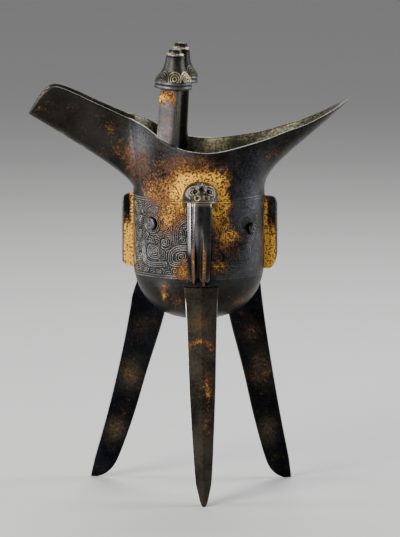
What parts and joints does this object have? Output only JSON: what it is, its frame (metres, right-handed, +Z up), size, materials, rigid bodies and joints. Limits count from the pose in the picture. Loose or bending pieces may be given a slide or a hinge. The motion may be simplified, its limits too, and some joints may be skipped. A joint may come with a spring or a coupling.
{
  "type": "tripod libation cup",
  "caption": "Cast bronze tripod libation cup with an open spout, a pointed tail, capped rim posts, a strap handle under an animal mask, rib flanges and blade legs.",
  "frame": {"origin": "middle of the box round the cup, on the plane that its three feet stand on", "axes": "+Z up, +X towards the pointed tail, -X towards the spout, -Y towards the handle"},
  "size_m": [0.145, 0.0828, 0.2011],
  "materials": {
    "bronze_olive": "aged olive-brown bronze with ochre crust",
    "bronze_dark": "smooth dark grey-black bronze",
    "bronze_grey": "worn grey bronze with pale gold motifs",
    "bronze_ochre": "rough ochre encrusted bronze"
  },
  "bodies": {
    "root": {"belly": "bronze_olive", "leg_front": "bronze_olive", "leg_spout_side": "bronze_olive", "leg_tail_side": "bronze_olive", "flange_spout_side": "bronze_olive", "flange_tail_side": "bronze_olive", "flange_back": "bronze_olive", "spout": "bronze_dark", "tail": "bronze_dark", "post_front": "bronze_dark", "post_back": "bronze_dark", "handle_strap": "bronze_dark", "post_cap_front": "bronze_grey", "post_cap_back": "bronze_grey", "handle_mask": "bronze_ochre", "eye_spout_side_front": "bronze_ochre", "eye_spout_side_back": "bronze_ochre", "eye_tail_side_front": "bronze_ochre", "eye_tail_side_back": "bronze_ochre"}
  },
  "joints": []
}
